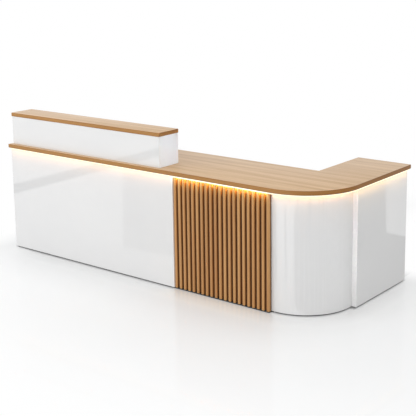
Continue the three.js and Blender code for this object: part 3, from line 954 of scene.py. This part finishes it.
def under_desk(tree, apart):
    """1 for a point of the floor just behind the panels, 0 outside them, and softly 0 by the staff."""
    fields = []
    flats = ((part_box("front_panel")[0][1], LEFT, PANEL_END), (SLAT_FACE, PANEL_END, SLATS_END))
    for face, start, end in flats:
        behind = maths(tree, "GREATER_THAN", apart["Y"], face + FLOOR_UNDER)
        fields.append(times(tree, within(tree, apart["X"], start, end), behind))
    behind = maths(tree, "LESS_THAN", apart["X"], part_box("return_panel")[1][0] - FLOOR_UNDER)
    fields.append(times(tree, within(tree, apart["Y"], CORNER_MIDDLE.y, FAR), behind))
    right = maths(tree, "MAXIMUM", maths(tree, "SUBTRACT", apart["X"], CORNER_MIDDLE.x), 0.0)
    ahead = maths(tree, "MAXIMUM", maths(tree, "SUBTRACT", CORNER_MIDDLE.y, apart["Y"]), 0.0)
    from_middle = add_node(tree, "ShaderNodeCombineXYZ", {"X": right, "Y": ahead}).outputs["Vector"]
    depth = vector_maths(tree, "LENGTH", from_middle)
    behind = maths(tree, "LESS_THAN", depth, CORNER_RADIUS - CORNER_FACE - FLOOR_UNDER)
    fields.append(times(tree, within(tree, apart["X"], SLATS_END, RIGHT), behind))
    return times(tree, largest(tree, *fields), level(tree, depth, 0.0, UNDER_FADE, smooth=True))


def flat_stage(name, corners, height, material, unseen_by=()):
    """A flat sheet that belongs to the room, not to the desk."""
    mesh = bpy.data.meshes.new(name)
    mesh.from_pydata([(x, y, height) for x, y in corners], [], [tuple(range(len(corners)))])
    mesh.materials.append(material)
    sheet = in_scene(name, mesh)
    hide_from(sheet, *unseen_by)


def floor_surface(tree, place, seen):
    """A matt floor with a light of its own where it is seen, and a mirror that is strongest by the desk."""
    apart = parts_of(tree, place)
    distance = desk_distance(tree, place)
    sent = ramp(tree, noise(tree, place, 1.5, detail=2.0), FLOOR_SENT)
    matt = add_node(tree, "ShaderNodeBsdfDiffuse", {"Color": mixed(tree, seen, sent, FLOOR_SEEN)})
    close = stepped(tree, apart["X"], FLOOR_CLOSE)
    strength = level(tree, distance, 0.0, FLOOR_NEAR, close, FLOOR_OWN, smooth=True)
    strength = times(tree, strength, maths(tree, "SUBTRACT", 1.0, under_desk(tree, apart)))
    own = add_node(tree, "ShaderNodeEmission", {"Strength": times(tree, seen, strength)})
    lit = add_node(tree, "ShaderNodeAddShader", {0: matt.outputs["BSDF"], 1: own.outputs["Emission"]})
    mirror = add_node(tree, "ShaderNodeBsdfGlossy", {"Roughness": 0.05})
    share = add_node(tree, "ShaderNodeFresnel", {"IOR": 1.5}).outputs["Fac"]
    share = times(tree, share, stepped(tree, distance, FLOOR_POLISH))
    share = times(tree, share, FLOOR_GLOSS)
    return blended(tree, share, lit, mirror)


def floor_fade(tree, place):
    """0 on the floor round the desk, and 1 where it has run out into the white backdrop."""
    apart = parts_of(tree, place)
    away = vector_maths(tree, "LENGTH", stretched(tree, place, FLOOR_FADE_STRETCH))
    behind = level(tree, apart["Y"], *FLOOR_BACK_FADE, smooth=True)
    behind = times(tree, behind, level(tree, apart["X"], *FLOOR_BACK_FROM, smooth=True))
    left = level(tree, apart["X"], *FLOOR_LEFT_FADE, smooth=True)
    return largest(tree, level(tree, away, *FLOOR_FADE, smooth=True), left, behind)


def make_floor():
    """A pale polished floor that runs out into a white backdrop."""
    material, tree, surface = bare_finish("pale_floor")
    place = own_place(tree)
    seen = seen_directly(tree)
    white = add_node(tree, "ShaderNodeEmission", {"Strength": 1.0})
    fade = times(tree, floor_fade(tree, place), seen)
    feed(tree, surface, blended(tree, fade, floor_surface(tree, place, seen), white).outputs["Shader"])
    corners = [(x * FLOOR_HALF, y * FLOOR_HALF) for x, y in ((-1, -1), (1, -1), (1, 1), (-1, 1))]
    flat_stage("floor", corners, 0.0, material)


# Grey cards on the floor, which the polished panels mirror as bands and lines
BAND_CARD = [(-3.15, -1.5), (-3.15, -9.0), (-2.83, -9.0), (-2.83, -1.5)]
FRONT_CARD = [(-0.74, -1.05), (-2.68, -3.09), (-1.78, -2.95), (-0.2, -1.1)]
LINE_CARD = [(1.065, -0.98), (-0.66, -12.0), (0.09, -12.0), (1.11, -0.98)]
THIN_CARD = [(0.82, -0.9), (-6.3, -12.0), (-5.2, -12.0), (0.87, -0.9)]
SIDE_CARD = [
    (1.23, -0.6), (3.8, -14.0), (14.0, -14.0), (14.0, 4.5), (3.745, 4.5), (2.13, 1.535), (1.47, 1.535),
    (1.3, -0.45),
]
CARD_RISE = 1 * MM
CARD_TURN = (-1.3, 0.2)  # turns about the corner's middle between which a card may change its shade


def floor_card(name, corners, shade, far_shade=None):
    """A grey card that only mirrors show. Its shade may change on its way round the corner."""
    material, tree, surface = bare_finish(name)
    if far_shade is not None:
        apart = parts_of(tree, own_place(tree))
        across = maths(tree, "SUBTRACT", apart["X"], CORNER_MIDDLE.x)
        along = maths(tree, "SUBTRACT", apart["Y"], CORNER_MIDDLE.y)
        shade = level(tree, maths(tree, "ARCTAN2", along, across), *CARD_TURN, shade, far_shade)
    grey = add_node(tree, "ShaderNodeEmission", {"Strength": shade})
    clear = add_node(tree, "ShaderNodeBsdfTransparent")
    below = add_node(tree, "ShaderNodeNewGeometry").outputs["Backfacing"]
    feed(tree, surface, blended(tree, below, grey, clear).outputs["Shader"])
    flat_stage(name, corners, CARD_RISE, material, ("camera", "diffuse", "transmission", "shadow"))


def make_world():
    """A plain white room."""
    world = bpy.data.worlds.new("studio")
    scene.world = world
    world.use_nodes = True
    tree = world.node_tree
    strength = level(tree, seen_directly(tree), 0.0, 1.0, WORLD_LIGHT, 1.0)
    settle(tree, tree.nodes["Background"], {"Color": WHITE, "Strength": strength})


make_floor()
make_world()
floor_card("band_card", BAND_CARD, 0.12)
floor_card("front_card", FRONT_CARD, 0.52)
floor_card("line_card", LINE_CARD, 0.1)
floor_card("thin_card", THIN_CARD, 0.1)
floor_card("side_card", SIDE_CARD, 0.05, 0.5)


# Lamps


def soft_light(name, place, aim, size, power, colour=WHITE, spread=math.pi):
    """A rectangular lamp, in watts, that lights the desk but is itself not seen."""
    light = bpy.data.lights.new(name, "AREA")
    light.shape = "RECTANGLE"
    light.size, light.size_y = size
    light.energy = power
    light.color = colour
    light.spread = spread
    lamp = in_scene(name, light)
    lamp.location = place
    lamp.rotation_euler = (Vector(aim) - Vector(place)).to_track_quat("-Z", "Y").to_euler()
    hide_from(lamp, "camera", "glossy")
    return lamp


GLOW_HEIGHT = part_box("light_lens")[0][2]
GLOW_WIDTH = 8 * MM
GLOW_SPREAD = math.radians(130)
GROOVE_SPREAD = math.radians(90)
GLOW_ON_WHITE = (1.0, 0.42, 0.06)
GLOW_ON_RETURN = (1.0, 0.55, 0.10)
GLOW_ON_OAK = (0.70, 0.90, 0.74)
GLOW_IN_GROOVES = (1.0, 0.70, 0.17)
GLOW_REACH = 35 * MM  # in front of the flat panels
GLOW_AT_CORNER = 22 * MM  # in front of the curved panel
GLOW_CLOSE = 26 * MM  # in front of the slats
GLOW_DROP = 1 * MM  # of the slats' lamp, below the others
GROOVE_SIDE = 2 * MM  # from a slat to the lamp in the groove beside it
GLOW_LEFT = 15 * MM  # from the counter's left end to the first lamp
GLOW_FAR = 20 * MM  # from the far end of the return to the last lamp
CORNER_LAMPS = 8


def glow_light(
    name, start, end, power, inward=(0, 1), tilt=1.0, colour=GLOW_ON_WHITE, spread=GLOW_SPREAD, drop=0.0
):
    """The light that the strip throws down and inward between two points, in watts per metre."""
    start, end = Vector(start), Vector(end)
    along = end - start
    size = (along.length, GLOW_WIDTH)
    lamp = soft_light(name, (0, 0, 0), (0, 0, -1), size, power * along.length, colour, spread)
    side = along.normalized().to_3d()
    beam = (tilt * Vector(inward).to_3d() - Vector((0, 0, 1))).normalized()
    turn = Matrix((side, (-beam).cross(side), -beam)).transposed()
    place = ((start + end) / 2).to_3d() + Vector((0, 0, GLOW_HEIGHT - drop))
    lamp.matrix_world = Matrix.Translation(place) @ turn.to_4x4()


def glow_on_front():
    """Light on the front panel, on the slats' faces, and in each groove on its walls."""
    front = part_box("front_panel")[0][1] - GLOW_REACH
    glow_light("glow_front", (LEFT + GLOW_LEFT, front), (PANEL_END, front), power=0.115)
    front = SLAT_FACE - GLOW_CLOSE
    glow_light(
        "glow_slats", (PANEL_END, front), (SLATS_END, front), power=0.27, tilt=2.0, colour=GLOW_ON_OAK,
        drop=GLOW_DROP,
    )
    boxes = [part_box(name) for name in SLATS]
    middle = (boxes[0][0][1] + boxes[0][1][1]) / 2
    for i, (left, right) in enumerate(zip(boxes, boxes[1:])):
        start, end = (left[1][0] + GROOVE_SIDE, middle), (right[0][0] - GROOVE_SIDE, middle)
        glow_light(
            f"glow_groove_{i}", start, end, power=7.0, tilt=0.55, colour=GLOW_IN_GROOVES,
            spread=GROOVE_SPREAD,
        )


def glow_round_corner():
    """Light on the curved panel, on the step where it meets the return, and on the return panel."""
    inset = CORNER_FACE - GLOW_AT_CORNER
    arc = [Vector((SLATS_END, FRONT + inset))] + corner_arc(inset)[::CORNER_STEPS // CORNER_LAMPS]
    for i, (start, end) in enumerate(zip(arc, arc[1:])):
        inward = (CORNER_MIDDLE - (start + end) / 2).normalized() if i else (0, 1)
        glow_light(f"glow_corner_{i}", start, end, power=0.16, inward=inward)
    low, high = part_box("return_panel")
    step = low[1] - GLOW_AT_CORNER
    glow_light("glow_step", (low[0], step), (high[0], step), power=0.2)
    right = high[0] + GLOW_REACH
    start, end = (right, CORNER_MIDDLE.y), (right, FAR - GLOW_FAR)
    glow_light("glow_return", start, end, power=0.16, inward=(-1, 0), colour=GLOW_ON_RETURN)


soft_light("key", (-3.6, -3.8, 3.3), (-0.6, 0.0, 0.5), size=(3.0, 2.4), power=62.0)
soft_light("fill", (3.2, -5.6, 1.8), (1.0, -0.2, 0.45), size=(2.0, 1.6), power=64.0)
soft_light(
    "side", (2.6, -0.6, 1.36), (0.085, -0.43, 0.96), size=(0.3, 0.25), power=0.16, colour=COOL,
    spread=math.radians(14),
)
soft_light(
    "edge", (1.56, -4.5, 0.5), (1.56, 0.0, 0.5), size=(0.12, 0.8), power=0.34, spread=math.radians(5)
)
glow_on_front()
glow_round_corner()


# Camera, solved from the desk's edges in the photograph, with turns in radians


IMAGE_SIZE = 416  # pixels
FOCAL_PIXELS = 967.86
SENSOR = 36.0
CAMERA_PLACE = Vector((4.49712, -5.47501, 2.33955))
CAMERA_TURN = 0.6756
CAMERA_DOWN = 0.1934
CAMERA_ROLL = -0.0140
CAMERA_SHIFT = -0.1635
CAMERA_SIGHT = 200.0


def make_camera():
    data = bpy.data.cameras.new("camera")
    data.sensor_width = SENSOR
    data.lens = FOCAL_PIXELS / IMAGE_SIZE * SENSOR
    data.shift_y = CAMERA_SHIFT
    data.clip_end = CAMERA_SIGHT
    camera = in_scene("camera", data)
    turn = Matrix.Rotation(CAMERA_TURN, 4, "Z") @ Matrix.Rotation(math.pi / 2 - CAMERA_DOWN, 4, "X")
    camera.matrix_world = Matrix.Translation(CAMERA_PLACE) @ turn @ Matrix.Rotation(CAMERA_ROLL, 4, "Z")
    scene.camera = camera


make_camera()
